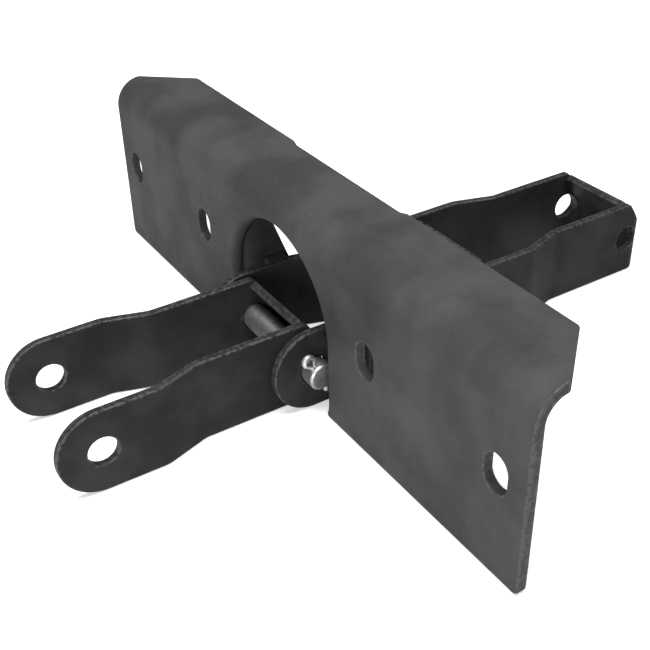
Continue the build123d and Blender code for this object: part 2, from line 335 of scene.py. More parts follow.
@dataclass
class BentPath:
    """The middle line of a bent sheet's section: straight runs joined by arcs, in millimetres.

    Attributes:
        corners: Where the straight runs would meet, with the two ends.
        radii: The middle line's bend radius at each inner corner.
    """

    corners: list[tuple[float, float]]
    radii: list[float]
    starts: np.ndarray = field(init=False)
    heads: np.ndarray = field(init=False)
    angles: np.ndarray = field(init=False)
    turns: np.ndarray = field(init=False)
    length: float = field(init=False)

    def __post_init__(self) -> None:
        """Splits the line into runs and arcs, each with its start, heading and curvature."""
        points = [np.array(c, float) for c in self.corners]
        rows: list[tuple[float, np.ndarray, float, float]] = []
        here, travelled = points[0], 0.0
        for i, radius in enumerate(self.radii, start=1):
            before, after = points[i] - points[i - 1], points[i + 1] - points[i]
            angle = math.atan2(before[1], before[0])
            turn = math.atan2(before[0] * after[1] - before[1] * after[0], before @ after)
            direction = before / np.linalg.norm(before)
            reach = radius * abs(math.tan(turn / 2))
            run = (points[i] - here) @ direction - reach
            rows.append((travelled, here, angle, 0.0))
            travelled += run
            rows.append((travelled, points[i] - direction * reach, angle, math.copysign(1 / radius, turn)))
            travelled += radius * abs(turn)
            here = points[i] + after / np.linalg.norm(after) * reach
        last = points[-1] - here
        rows.append((travelled, here, math.atan2(last[1], last[0]), 0.0))
        self.length = travelled + float(np.linalg.norm(last))
        self.starts = np.array([r[0] for r in rows])
        self.heads = np.array([r[1] for r in rows])
        self.angles = np.array([r[2] for r in rows])
        self.turns = np.array([r[3] for r in rows])

    def place(self, s: np.ndarray) -> tuple[np.ndarray, np.ndarray, np.ndarray]:
        """Gives the line's points and directions.

        Args:
            s: Lengths along the line.

        Returns:
            The points, the headings and the right-hand normals, one row each.
        """
        i = np.clip(np.searchsorted(self.starts, s, side="right") - 1, 0, len(self.starts) - 1)
        t, k, a = s - self.starts[i], self.turns[i], self.angles[i]
        heading = a + k * t
        straight = np.abs(k) < 1e-9
        safe = np.where(straight, 1.0, k)
        dx = np.where(straight, t * np.cos(a), (np.sin(heading) - np.sin(a)) / safe)
        dy = np.where(straight, t * np.sin(a), (np.cos(a) - np.cos(heading)) / safe)
        points = self.heads[i] + np.stack([dx, dy], 1)
        along = np.stack([np.cos(heading), np.sin(heading)], 1)
        right = np.stack([np.sin(heading), -np.cos(heading)], 1)
        return points, along, right

    def bends(self, step: float) -> np.ndarray:
        """Gives lengths spaced by about step over every bend, with both of its ends."""
        found: list[float] = []
        for i in np.nonzero(self.turns)[0]:
            end = self.starts[i + 1]
            count = max(2, math.ceil((end - self.starts[i]) / step))
            found += list(np.linspace(self.starts[i], end, count + 1))
        return np.array(sorted(found))


def rounded_outline(
    corners: list[tuple[float, float, float]], stops: np.ndarray, arc_step: float = 1.2, run_step: float = 5.0
) -> np.ndarray:
    """Turns a polygon into a dense closed outline with round corners.

    Args:
        corners: Each corner's place on the flat blank and its radius.
        stops: Lengths along the blank where a point is needed, such as over a bend.
        arc_step: The spacing of points round a corner.
        run_step: The widest spacing of points along a straight side.

    Returns:
        The outline's points, one row each, without a repeat of the first.
    """
    count = len(corners)
    arcs: list[list[np.ndarray]] = []
    for i in range(count):
        here = np.array(corners[i][:2], float)
        before = np.array(corners[i - 1][:2], float) - here
        after = np.array(corners[(i + 1) % count][:2], float) - here
        u, v = before / np.linalg.norm(before), after / np.linalg.norm(after)
        inside = math.acos(float(np.clip(u @ v, -1, 1)))
        radius = corners[i][2]
        reach = radius / math.tan(inside / 2)
        middle = here + (u + v) / np.linalg.norm(u + v) * radius / math.sin(inside / 2)
        start, end = here + u * reach - middle, here + v * reach - middle
        sweep = math.pi - inside
        side = math.copysign(1.0, start[0] * end[1] - start[1] * end[0])
        steps = max(3, math.ceil(radius * sweep / arc_step))
        arc = []
        for k in range(steps + 1):
            a = side * sweep * k / steps
            turn = np.array([[math.cos(a), -math.sin(a)], [math.sin(a), math.cos(a)]])
            arc.append(middle + turn @ start)
        arcs.append(arc)
    points: list[np.ndarray] = []
    for i, arc in enumerate(arcs):
        points += arc
        a, b = arc[-1], arcs[(i + 1) % count][0]
        gap = float(np.linalg.norm(b - a))
        if gap < 1e-6:
            points.pop()
            continue
        marks = list(np.linspace(0, 1, max(1, math.ceil(gap / run_step)) + 1)[1:-1])
        if abs(b[0] - a[0]) > 1e-6:
            crossed = (stops - a[0]) / (b[0] - a[0])
            kept = [m for m in crossed if 1e-6 < m < 1 - 1e-6]
            marks = sorted(kept + [m for m in marks if all(abs(m - c) * gap > 0.4 for c in kept)])
        points += [a + (b - a) * m for m in marks]
    return np.array(points)


def oriented(points: np.ndarray, hole: bool) -> np.ndarray:
    """Orders an outline so that the metal is on its left.

    Args:
        points: The outline.
        hole: Whether it bounds a hole.

    Returns:
        The outline, reversed if need be.
    """
    x, y = points.T
    area = float(np.sum(x * np.roll(y, -1) - y * np.roll(x, -1)))
    return points[::-1].copy() if (area > 0) == hole else points


def inward(points: np.ndarray) -> np.ndarray:
    """Gives each outline point's mitred direction into the metal."""
    ahead = np.roll(points, -1, 0) - points
    ahead /= np.linalg.norm(ahead, axis=1)[:, None]
    left = np.stack([-ahead[:, 1], ahead[:, 0]], 1)
    behind = np.roll(left, 1, 0)
    return (left + behind) / (1 + np.sum(left * behind, 1))[:, None]


@dataclass
class MeshDraft:
    """Vertices, faces and shading data gathered before a mesh is made, in metres."""

    points: list[np.ndarray] = field(default_factory=list)
    normals: list[np.ndarray] = field(default_factory=list)
    blanks: list[np.ndarray] = field(default_factory=list)
    edges: list[np.ndarray] = field(default_factory=list)
    faces: list[tuple[int, ...]] = field(default_factory=list)
    count: int = 0

    def add(
        self, points: np.ndarray, normals: np.ndarray, blanks: np.ndarray, edge: float | np.ndarray = 0.0
    ) -> int:
        """Adds a row of vertices.

        Args:
            points: Their places in metres.
            normals: Their shading normals.
            blanks: Their pattern coordinates in millimetres.
            edge: How much edge rubbing and painted edge highlight they take, from 0 to 1.

        Returns:
            The first vertex's number.
        """
        first = self.count
        self.points.append(points)
        self.normals.append(normals)
        self.blanks.append(blanks)
        self.edges.append(np.zeros(len(points)) + edge)
        self.count += len(points)
        return first

    def band(self, a: int, b: int, count: int) -> None:
        """Joins two equal closed rows of vertices with four-sided faces."""
        for i in range(count):
            j = (i + 1) % count
            self.faces.append((a + i, a + j, b + j, b + i))

    def tube(self, firsts: list[int], count: int) -> None:
        """Joins closed rows of vertices in order, and closes both ends.

        Args:
            firsts: Each row's first vertex.
            count: The vertices in a row.
        """
        for a, b in zip(firsts, firsts[1:]):
            self.band(a, b, count)
        self.faces.append(tuple(range(firsts[0], firsts[0] + count))[::-1])
        self.faces.append(tuple(range(firsts[-1], firsts[-1] + count)))

    def mesh(self, name: str) -> bpy.types.Mesh:
        """Makes the mesh, its faces turned outwards.

        Args:
            name: The mesh's name.

        Returns:
            The mesh, with its shading normals and its two attributes.
        """
        points, normals = np.concatenate(self.points), np.concatenate(self.normals)
        agree = 0.0
        for f in self.faces:
            p = points[list(f)]
            across = np.cross(p[1] - p[0], p[2] - p[0])
            agree += float(across @ normals[list(f)].sum(0))
        faces = self.faces if agree > 0 else [f[::-1] for f in self.faces]
        made = bpy.data.meshes.new(name)
        made.from_pydata(points.tolist(), [], faces)
        made.shade_smooth()
        blank = made.attributes.new("blank", "FLOAT_VECTOR", "POINT")
        blank.data.foreach_set("vector", np.concatenate(self.blanks).astype(np.float32).ravel())
        edge = made.attributes.new("edge", "FLOAT", "POINT")
        edge.data.foreach_set("value", np.concatenate(self.edges).astype(np.float32))
        length = np.linalg.norm(normals, axis=1)[:, None]
        made.normals_split_custom_set_from_vertices((normals / np.maximum(length, 1e-9)).tolist())
        made.update()
        return made

    def piece(self, name: str) -> bpy.types.Object:
        """Makes the mesh and an object of the same name in the scene."""
        made = bpy.data.objects.new(name, self.mesh(name))
        bpy.context.scene.collection.objects.link(made)
        return made


@dataclass
class BentSheet:
    """A sheet of metal cut to an outline, pierced, bent along a path and with rolled edges.

    Attributes:
        path: The middle line of the bent section.
        thickness: The sheet's thickness in millimetres.
        lie: How the section lies in the row frame.
        offset_y: What is added to every Y, in millimetres.
        edge_radius: The radius of the rolled edges.
        rub_and_highlight_width: How far edge rubbing and the painted edge highlight reach from an edge,
            measured on the face.
        seed: Moves the surface pattern and the unevenness, so that equal parts differ.
        spread: Gives the true length along the path for a length on the blank, at a distance from
            the middle line, so that a hole drilled straight through a bend is straight.
        roll: Gives the rolled radius of the left-hand face's edge at each point of an outline.
    """

    path: BentPath
    thickness: float
    lie: Lie
    offset_y: float = 0.0
    edge_radius: float = 0.9
    rub_and_highlight_width: float = 2.4
    seed: int = 0
    spread: Callable[[np.ndarray, float | np.ndarray], np.ndarray] | None = None
    roll: Callable[[np.ndarray], np.ndarray] | None = None

    def locate(
        self, flat: np.ndarray, height: float | np.ndarray
    ) -> tuple[np.ndarray, np.ndarray, np.ndarray]:
        """Takes points from the flat blank to the bent sheet.

        Args:
            flat: Places on the blank: length along the path, and width.
            height: The distance from the middle line, to the right of the path.

        Returns:
            The points in metres, the face normals, and the directions along the path.
        """
        s = flat[:, 0] if self.spread is None else self.spread(flat[:, 0], height)
        section, along, right = self.path.place(s)
        section = section + right * np.reshape(height, (-1, 1))
        zero = np.zeros(len(flat))
        if self.lie is Lie.SIDE:
            points = np.stack([flat[:, 1], section[:, 0] + self.offset_y, section[:, 1]], 1)
            right3 = np.stack([zero, right[:, 0], right[:, 1]], 1)
            along3 = np.stack([zero, along[:, 0], along[:, 1]], 1)
        else:
            flip = -1.0 if self.lie is Lie.PLAN_MIRRORED else 1.0
            points = np.stack([flip * section[:, 0], section[:, 1] + self.offset_y, flat[:, 1]], 1)
            right3 = np.stack([flip * right[:, 0], right[:, 1], zero], 1)
            along3 = np.stack([flip * along[:, 0], along[:, 1], zero], 1)
        return points * MM, right3, along3

    def width_axis(self) -> np.ndarray:
        """The row axis that the sheet's width runs along."""
        return np.array([1.0, 0.0, 0.0] if self.lie is Lie.SIDE else [0.0, 0.0, 1.0])

    def uneven(self, points: np.ndarray, loop: int) -> np.ndarray:
        """Gives each outline point a small smooth number from about -1 to 1."""
        lift = self.seed * 17.3 + loop * 5.1
        return np.array([noise.noise(Vector((p[0] * 0.09, p[1] * 0.09, lift))) for p in points])

    def edge_rows(
        self, loop: np.ndarray, wobble: np.ndarray
    ) -> list[tuple[np.ndarray, np.ndarray, float, np.ndarray]]:
        """Gives the rows of vertices that roll an edge over, from the right-hand face to the other.

        Args:
            loop: The edge on the blank.
            wobble: Its unevenness.

        Returns:
            Each row's inset, distance from the middle line, tilt of its normal, and edge rubbing with painted
            edge highlight.
        """
        half, sharp = self.thickness / 2, np.full(len(loop), self.edge_radius)
        rolled = sharp if self.roll is None else np.maximum(sharp, self.roll(loop))
        rim = np.maximum(self.rub_and_highlight_width, rolled + 1.0) * (1 + 0.18 * wobble)
        zero = np.zeros(len(loop))
        sides = []
        for radius in (sharp, rolled):
            radius = radius * (1 + 0.18 * wobble * self.edge_radius / radius)
            radius = np.minimum(radius, self.thickness - 2 * self.edge_radius)
            steps = 3 if radius.max() < 2 else 9
            # How much edge rubbing and painted edge highlight each row takes: less round a large rolled edge.
            rub_and_highlight = self.edge_radius / np.maximum(radius, self.edge_radius)
            side = [(rim, zero + half, 0.0, zero), (radius, zero + half, 0.0, 0.65 * rub_and_highlight)]
            for k in range(1, steps + 1):
                a = QUARTER * k / steps
                side.append((radius * (1 - math.sin(a)), half - radius * (1 - math.cos(a)), a, rub_and_highlight))
            sides.append(side)
        right, left = sides
        middle = (right[-1][1] - left[-1][1]) / 2
        left = [(inset, -height, -tilt, rub_and_highlight) for inset, height, tilt, rub_and_highlight in reversed(left)]
        return [*right, (zero, middle, QUARTER, zero + 0.55), *left]

    def build(self, name: str, outline: np.ndarray, holes: list[np.ndarray]) -> bpy.types.Object:
        """Builds the sheet.

        Args:
            name: The piece's name.
            outline: The blank's outer edge.
            holes: The edges of its holes.

        Returns:
            The new object.
        """
        draft = MeshDraft()
        loops = [oriented(outline, False)] + [oriented(h, True) for h in holes]
        shift = np.array([self.seed * 613.0, 0.0, 0.0])
        rims: list[np.ndarray] = []
        tops: list[int] = []
        bottoms: list[int] = []
        for number, loop in enumerate(loops):
            into, wobble = inward(loop), self.uneven(loop, number)
            rows = self.edge_rows(loop, wobble)
            firsts = []
            for inset, height, tilt, edge in rows:
                flat = loop + into * inset[:, None]
                points, out, along = self.locate(flat, height)
                wall = -(into[:, :1] * along + into[:, 1:] * self.width_axis())
                wall /= np.linalg.norm(wall, axis=1)[:, None]
                facing = 1.0 if len(firsts) <= len(rows) // 2 and tilt >= 0 else -1.0
                normals = math.cos(tilt) * facing * out + math.sin(abs(tilt)) * wall
                blank = np.stack([flat[:, 0], flat[:, 1], height], 1) + shift
                firsts.append(draft.add(points, normals, blank, edge))
            for a, b in zip(firsts, firsts[1:]):
                draft.band(a, b, len(loop))
            rims.append(loop + into * rows[0][0][:, None])
            tops.append(firsts[0])
            bottoms.append(firsts[-1])
        self.fill_faces(draft, rims, tops, bottoms, shift)
        return draft.piece(name)

    def fill_faces(
        self,
        draft: MeshDraft,
        rims: list[np.ndarray],
        tops: list[int],
        bottoms: list[int],
        shift: np.ndarray,
    ) -> None:
        """Fills the two broad faces between their rims.

        Args:
            draft: The mesh so far.
            rims: Each face's rims on the blank, the outer one first.
            tops: The first vertex of each rim on the right-hand face.
            bottoms: The first vertex of each rim on the other face.
            shift: What is added to the pattern coordinates.
        """
        inner = self.inner_points(rims)
        flat = np.concatenate(rims + [inner])
        edges, number = [], 0
        for rim in rims:
            edges += [(number + i, number + (i + 1) % len(rim)) for i in range(len(rim))]
            number += len(rim)
        made = delaunay_2d_cdt([Vector(p) for p in flat], edges, [], 0, 1e-7)
        corners, triangles, origins = made[0], made[2], made[3]
        kept = []
        for triangle in triangles:
            centre = np.mean([corners[i] for i in triangle], 0)
            if self.covers(rims, centre[None, :])[0]:
                kept.append([origins[i][0] for i in triangle])
        for height, firsts in ((self.thickness / 2, tops), (-self.thickness / 2, bottoms)):
            points, out, _ = self.locate(inner, height)
            blank = np.stack([inner[:, 0], inner[:, 1], np.full(len(inner), height)], 1) + shift
            first = draft.add(points, math.copysign(1.0, height) * out, blank)
            index = np.concatenate([np.arange(len(r)) + f for r, f in zip(rims, firsts)]
                                   + [np.arange(len(inner)) + first])
            for triangle in kept:
                face = tuple(int(index[i]) for i in triangle)
                draft.faces.append(face if height < 0 else face[::-1])

    def inner_points(self, rims: list[np.ndarray]) -> np.ndarray:
        """Gives the points inside a face that let it bend: rows across every bend, and a wide net."""
        low, high = rims[0].min(0), rims[0].max(0)
        bends = self.path.bends(1.0)
        wide = np.arange(low[0] + 4, high[0], 9.0)
        wide = np.array([s for s in wide if np.all(np.abs(bends - s) > 3.0)])
        lengths = np.sort(np.concatenate([bends, wide]))
        widths = np.linspace(low[1] + 2.5, high[1] - 2.5, max(2, round((high[1] - low[1]) / 7)))
        net = np.array([(s, w) for s in lengths for w in widths])
        net = net[self.covers(rims, net)]
        rim = np.concatenate(rims)
        gap = np.min(np.linalg.norm(net[:, None, :] - rim[None, :, :], axis=2), axis=1)
        return net[gap > 1.0]

    @staticmethod
    def covers(rims: list[np.ndarray], points: np.ndarray) -> np.ndarray:
        """Tells which points lie on the metal, by counting the rims to one side of each."""
        inside = np.zeros(len(points), bool)
        for rim in rims:
            a, b = rim, np.roll(rim, -1, 0)
            for i in range(0, len(points), 2048):
                p = points[i : i + 2048, None, :]
                spans = (a[None, :, 1] > p[..., 1]) != (b[None, :, 1] > p[..., 1])
                rise = np.where(np.abs(b[:, 1] - a[:, 1]) < 1e-12, 1.0, b[:, 1] - a[:, 1])
                cross = a[:, 0] + (p[..., 1] - a[:, 1]) * (b[:, 0] - a[:, 0]) / rise
                hits = np.sum(spans & (p[..., 0] < cross), axis=1)
                inside[i : i + 2048] ^= hits % 2 == 1
        return inside


def dress(made: bpy.types.Object, material: bpy.types.Material, body: str, slot: str, *nodes: str) -> None:
    """Gives a piece its material and body, and hides the CAD nodes that it stands for.

    Args:
        made: The piece.
        material: Its finish.
        body: The CAD body that it rides on.
        slot: The record's material slot. Not used.
        nodes: The CAD nodes that it stands for.
    """
    made.data.materials.clear()
    made.data.materials.append(material)
    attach(made, body)
    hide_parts(*nodes)
    LOG.info("%s: %d faces, rides on %s", made.name, len(made.data.polygons), body)


# ---------------------------------------------------------------- links


@dataclass
class FlatBarLink:
    """One link: a strap of flat bar bent to a U, joggled out to two round eyes. Millimetres."""

    node: str
    body: str
    seed: int
    height: float = 50.0
    thickness: float = 5.0
    pitch: float = 125.0
    eye_half_width: float = 40.0
    tail_half_width: float = 31.5
    joggle_start: float = 34.0
    joggle_end: float = 60.0
    joggle_radius: float = 14.0
    web_setback: float = 14.5
    web_bend_radius: float = 10.0
    break_height: float = 30.0
    closing_setback: float = 0.5
    hole_radius: float = 8.5
    hole_on_bend: float = 4.6

    def path(self) -> BentPath:
        """The strap's middle line in plan, from the +X eye round to the -X eye."""
        half = self.thickness / 2
        turn = math.atan2(self.eye_half_width - self.tail_half_width, self.joggle_end - self.joggle_start)
        back = half * math.tan(turn / 2)
        wide, narrow = self.eye_half_width - half, self.tail_half_width - half
        web = self.pitch + self.web_setback - half
        side = [(wide, -self.height / 2), (wide, self.joggle_start - back),
                (narrow, self.joggle_end - back), (narrow, web)]
        joggle = self.joggle_radius + half
        radii = [joggle, joggle, self.web_bend_radius - half]
        return BentPath(side + [(-x, y) for x, y in reversed(side)], radii + radii[::-1])

    def straightener(self, path: BentPath) -> Callable[[np.ndarray, float | np.ndarray], np.ndarray]:
        """Makes the function that keeps the tail holes straight where they reach into a bend.

        Args:
            path: The strap's middle line.

        Returns:
            A function of lengths on the blank and a distance from the middle line.
        """
        radius = self.web_bend_radius - self.thickness / 2
        sweep = radius * QUARTER
        start = path.starts[5]
        limit = self.hole_on_bend

        def one_side(s: np.ndarray, height: float | np.ndarray) -> np.ndarray:
            """Straightens the hole at the bend that comes first along the strap."""
            t = s - start
            ratio = np.clip(t, 0, limit) / (radius + height)
            bent = radius * np.arcsin(np.clip(ratio, 0, 1))
            last = radius * np.arcsin(limit / (radius + height))
            later = last + (t - limit) * (sweep - last) / (sweep - limit)
            warped = np.where(t <= limit, bent, later)
            return np.where((t > 0) & (t < sweep), start + warped, s)

        def spread(s: np.ndarray, height: float | np.ndarray) -> np.ndarray:
            """Straightens the hole at either bend."""
            near = one_side(s, height)
            far = path.length - one_side(path.length - s, height)
            return np.where(s < path.length / 2, near, far)

        return spread

    def build(self, material: bpy.types.Material) -> bpy.types.Object:
        """Builds and dresses the link.

        Args:
            material: The bar's finish.

        Returns:
            The link.
        """
        eye_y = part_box(self.node)[0].y / MM + self.height / 2
        path = self.path()
        total, r = path.length, self.height / 2
        stops = path.bends(1.0)
        tail = path.starts[5] - (path.heads[5][1] - self.pitch)
        slope = self.slope_on_blank(path, tail)
        far_slope = [(total - s, z, c) for s, z, c in reversed(slope)]
        corners = [(0, 0, r), (0, self.height, r), *slope, *far_slope, (total, self.height, r), (total, 0, r)]
        outline = rounded_outline(corners, stops)
        holes = [self.hole(s) for s in (r, tail, total - tail, total - r)]
        spread = self.straightener(path)
        sheet = BentSheet(path, self.thickness, Lie.PLAN, eye_y, seed=self.seed, spread=spread)
        made = sheet.build(f"{self.node}_bar", outline, holes)
        dress(made, material, self.body, "link_steel", self.node)
        return made

    def slope_on_blank(self, path: BentPath, tail: float) -> list[tuple[float, float, float]]:
        """Gives the corners of the top edge where it slopes down to the closed end's break.

        Args:
            path: The strap's middle line.
            tail: The tail hole's length along it.

        Returns:
            Each corner's place on the blank and its radius.
        """
        radius = self.web_bend_radius - self.thickness / 2
        fall = (self.height - self.break_height) / (self.web_setback - self.closing_setback)
        corners = [(tail + self.closing_setback, self.height, 3.2)]
        for turned in (0.35, 0.7):
            a = turned * QUARTER
            y = self.web_setback - self.web_bend_radius + radius * math.sin(a)
            z = self.height - (y - self.closing_setback) * fall
            corners.append((path.starts[5] + radius * a, z, 6.0))
        corners.append((path.starts[5] + radius * QUARTER, self.break_height - 1.0, 3.2))
        return corners

    def close_end(self, steel: bpy.types.Material, weld: bpy.types.Material) -> None:
        """Builds the plate that leans in over the pin between the sides, and the beads round it.

        Args:
            steel: The plate's finish.
            weld: The beads' finish.
        """
        pin_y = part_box(self.node)[0].y / MM + self.height / 2 + self.pitch
        half, top = self.thickness / 2, self.height
        lean, rise = self.web_setback - self.closing_setback, self.height - self.break_height
        slant = math.hypot(lean, rise)
        out_y, out_z = rise / slant, lean / slant
        head = (self.closing_setback - half * out_y, top - half * out_z)
        foot_y = self.web_setback - half
        foot = (foot_y, head[1] - (foot_y - head[0]) * rise / lean)
        length = math.hypot(foot[0] - head[0], foot[1] - head[1])
        wide = self.tail_half_width - self.thickness - 0.2
        narrow = wide - 4.5
        corners = [(0, -narrow, 2.6), (5.5, -wide, 3.2), (length, -wide, 2.4),
                   (length, wide, 2.4), (5.5, wide, 3.2), (0, narrow, 2.6)]
        sheet = BentSheet(BentPath([foot, head], []), self.thickness, Lie.SIDE, pin_y,
                          rub_and_highlight_width=1.6, edge_radius=0.7, seed=self.seed + 30)
        made = sheet.build(f"{self.node}_closing_plate", rounded_outline(corners, np.array([])), [])
        dress(made, steel, self.body, "link_steel", self.node)

        up, out = (0.0, -lean / slant, rise / slant), (0.0, out_y, out_z)
        draft = MeshDraft()
        y, z, reach = pin_y + self.web_setback - 0.35, self.break_height + 0.5, narrow - 0.8
        beads = [FilletBead((-reach, y, z), (reach, y, z), up, out, leg=2.6, height=1.1, sweep=math.pi)]
        for side in (-1, 1):
            x = side * (self.tail_half_width - self.thickness)
            ends = [(x, pin_y + self.closing_setback + u * lean, top - u * rise) for u in (0.66, 0.1)]
            beads.append(FilletBead(*ends, (1, 0, 0), out, leg=2.3, height=0.9, sweep=math.pi))
        for number, bead in enumerate(beads):
            bead.add_to(draft, False, 40 + 5 * self.seed + number)
        dress(draft.piece(f"{self.node}_closing_beads"), weld, self.body, "weld_steel", self.node)

    def hole(self, s: float) -> np.ndarray:
        """The edge of one pin hole, at a length along the strap."""
        r, z = self.hole_radius, self.height / 2
        square = [(s - r, z - r, r), (s + r, z - r, r), (s + r, z + r, r), (s - r, z + r, r)]
        return rounded_outline(square, np.array([]), arc_step=0.9)


# ---------------------------------------------------------------- cross plate and lugs


@dataclass
class CrossPlate:
    """The bent cross plate with its arch, four upright slots and clipped flange corners. Millimetres."""

    node: str = "cross_plate"
    body: str = "carrier"
    length: float = 422.0
    height: float = 115.0
    depth: float = 49.0
    thickness: float = 6.0
    bend_radius: float = 18.0
    arch_half_width: float = 51.0
    arch_spring_height: float = 45.5
    clip_length: float = 28.0
    clip_start: float = 17.6
    slot_centres: tuple[float, float] = (88.5, 190.0)
    slot_height: float = 59.0
    slot_width: float = 15.5
    slot_length: float = 21.5
    arch_edge_radius: float = 4.5
    corner_radius: float = 3.2

    def rolled_rim(self, loop: np.ndarray) -> np.ndarray:
        """Gives the rolled radius of the plate's front edge: large round the arch, none elsewhere."""
        on_arch = np.abs(loop[:, 1]) < self.arch_half_width + self.corner_radius
        off_slots = np.ptp(loop[:, 1]) > self.arch_half_width
        return self.arch_edge_radius * np.clip(loop[:, 0] / 5.0, 0, 1) * on_arch * off_slots

    def build(self, material: bpy.types.Material) -> bpy.types.Object:
        """Builds and dresses the plate.

        Args:
            material: The plate's finish.

        Returns:
            The plate.
        """
        half = self.thickness / 2
        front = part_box(self.node)[0].y / MM
        path = BentPath(
            [(half, 0), (half, self.height - half), (self.depth, self.height - half)],
            [self.bend_radius - half],
        )
        flange = path.starts[2] - self.bend_radius
        end, arch = self.length / 2, self.arch_half_width
        top = self.arch_spring_height + arch
        clip, back, c = flange + self.clip_start, flange + self.depth, self.corner_radius
        half_line = [(0, arch, c), (0, end, c), (clip, end, c), (back, end - self.clip_length, c)]
        mirrored = [(s, -w, r) for s, w, r in reversed(half_line)]
        corners = half_line + mirrored + [(top, -arch, arch), (top, arch, arch)]
        outline = rounded_outline(corners, path.bends(1.0))
        holes = [self.slot(side * x) for side in (-1, 1) for x in self.slot_centres]
        sheet = BentSheet(path, self.thickness, Lie.SIDE, front, seed=7, roll=self.rolled_rim)
        made = sheet.build("cross_plate_sheet", outline, holes)
        dress(made, material, self.body, "plate_steel", self.node)
        return made

    def slot(self, x: float) -> np.ndarray:
        """The edge of one upright slot, at a place along the plate."""
        r, up = self.slot_width / 2, self.slot_length / 2
        z = self.slot_height
        square = [(z - up, x - r, r), (z + up, x - r, r), (z + up, x + r, r), (z - up, x + r, r)]
        return rounded_outline(square, np.array([]), arc_step=0.9)


@dataclass
class CarrierLug:
    """A bent, notched plate from the side of the middle link to the back of the cross plate."""

    side: str
    body: str = "carrier"
    thickness: float = 5.0
    bend_radius: float = 8.0
    eye_half_width: float = 40.0
    side_depth: float = 34.0
    wing_x: float = 68.0
    bottom: float = 4.0
    top: float = 92.0
    clip_height: float = 46.0
    clip_depth: float = 17.5
    notch_reach: float = 17.5
    notch_x: float = 51.0
    pin_height: float = 25.0
    corner_radius: float = 2.6

    def build(self, material: bpy.types.Material, middle_pin_y: float) -> bpy.types.Object:
        """Builds and dresses the lug.

        Args:
            material: The lug's finish.
            middle_pin_y: The middle link's eye centre, in millimetres.

        Returns:
            The lug.
        """
        node = f"{self.side}_lug"
        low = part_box(node)[0]
        half = self.thickness / 2
        near_x, plate_y = self.eye_half_width + half, low.y / MM + half
        rear_y = middle_pin_y + self.side_depth
        line = [(near_x, rear_y), (near_x, plate_y), (self.wing_x, plate_y)]
        path = BentPath(line, [self.bend_radius - half])
        notch = self.side_depth - self.notch_reach
        wing = path.starts[2] + self.notch_x - path.heads[2][0]
        notch_top = self.pin_height + self.notch_reach
        c = self.corner_radius
        corners = [
            (0, self.bottom, c), (notch, self.bottom, c), (notch, notch_top, c), (wing, notch_top, c),
            (wing, self.bottom, c), (path.length, self.bottom, c), (path.length, self.top, c),
            (self.clip_depth, self.top, c), (0, self.clip_height, c),
        ]
        outline = rounded_outline(corners, path.bends(0.8), run_step=4.0)
        lie = Lie.PLAN_MIRRORED if self.side == "left" else Lie.PLAN
        sheet = BentSheet(path, self.thickness, lie, 0.0, edge_radius=0.7, rub_and_highlight_width=1.8,
                          seed=11 if self.side == "left" else 13)
        made = sheet.build(f"{self.side}_lug_plate", outline, [])
        dress(made, material, self.body, "plate_steel", node)
        return made


# ---------------------------------------------------------------- welds


@dataclass
class FilletBead:
    """One fillet weld: a line, and the two surfaces that its legs lie on. Millimetres.

    Attributes:
        start: The corner line's first point.
        end: Its last point.
        leg_a: The direction along the first surface.
        leg_b: The direction along the second surface.
        leg: The leg length.
        height: The crown's height along leg_b, for a bead on a flush joint.
        sweep: A quarter turn for a fillet, a half turn for a bead on a flush joint.
    """

    start: tuple[float, float, float]
    end: tuple[float, float, float]
    leg_a: tuple[float, float, float]
    leg_b: tuple[float, float, float]
    leg: float = 4.0
    height: float = 4.0
    sweep: float = QUARTER
    ripple: float = 2.1
    bury: float = 0.6

    def add_to(self, draft: MeshDraft, mirror: bool, seed: int) -> None:
        """Adds the bead's rippled mesh to a draft.

        Args:
            draft: The mesh that takes it.
            mirror: Whether X is reversed.
            seed: Varies the ripples.
        """
        start, end = np.array(self.start, float), np.array(self.end, float)
        a, b = np.array(self.leg_a, float), np.array(self.leg_b, float)
        line = end - start
        length = float(np.linalg.norm(line))
        line /= length
        corner_in = -(a + b) * self.bury if self.sweep < 2 else -b * self.bury
        inside_out = (float(np.cross(line, a) @ b) > 0) != mirror
        b *= self.height / self.leg
        stations, across = max(24, round(length / 0.35)), 14
        rows = []
        for i in range(stations + 1):
            u = length * i / stations
            cap = math.sin(min(1.0, min(u, length - u) / (0.6 * self.leg)) * QUARTER)
            row = []
            for j in range(across + 1):
                t = j / across
                crest = u + 1.1 * math.sin(math.pi * t)
                wave = abs(math.sin(math.pi * crest / self.ripple + seed)) ** 0.7
                drift = noise.noise(Vector((u * 0.18, t * 1.4, seed * 3.7)))
                plump = 0.8 + 0.2 * abs(2 * t - 1) + 0.055 * wave * math.sin(math.pi * t) + 0.05 * drift
                reach = self.leg * (0.25 + 0.75 * cap) * plump
                out = a * math.cos(self.sweep * t) + b * math.sin(self.sweep * t)
                row.append(start + line * u + out * reach)
            row.append(start + line * u + corner_in)
            rows.append(row)
        points = np.array(rows)
        if mirror:
            points[..., 0] *= -1
        count = across + 2
        centre = points.mean(1, keepdims=True)
        normals = points - centre
        along_u = np.gradient(points, axis=0)
        along_t = np.roll(points, -1, 1) - np.roll(points, 1, 1)
        exact = np.cross(along_u, along_t)
        exact *= np.sign(np.sum(exact * normals, axis=2, keepdims=True))
        # Every bead vertex takes a quarter of the edge rubbing and painted edge highlight.
        firsts = []
        for i in range(stations + 1):
            firsts.append(draft.add(points[i] * MM, exact[i], points[i] + seed * 31.0, 0.25))
        draft.tube(firsts[::-1] if inside_out else firsts, count)


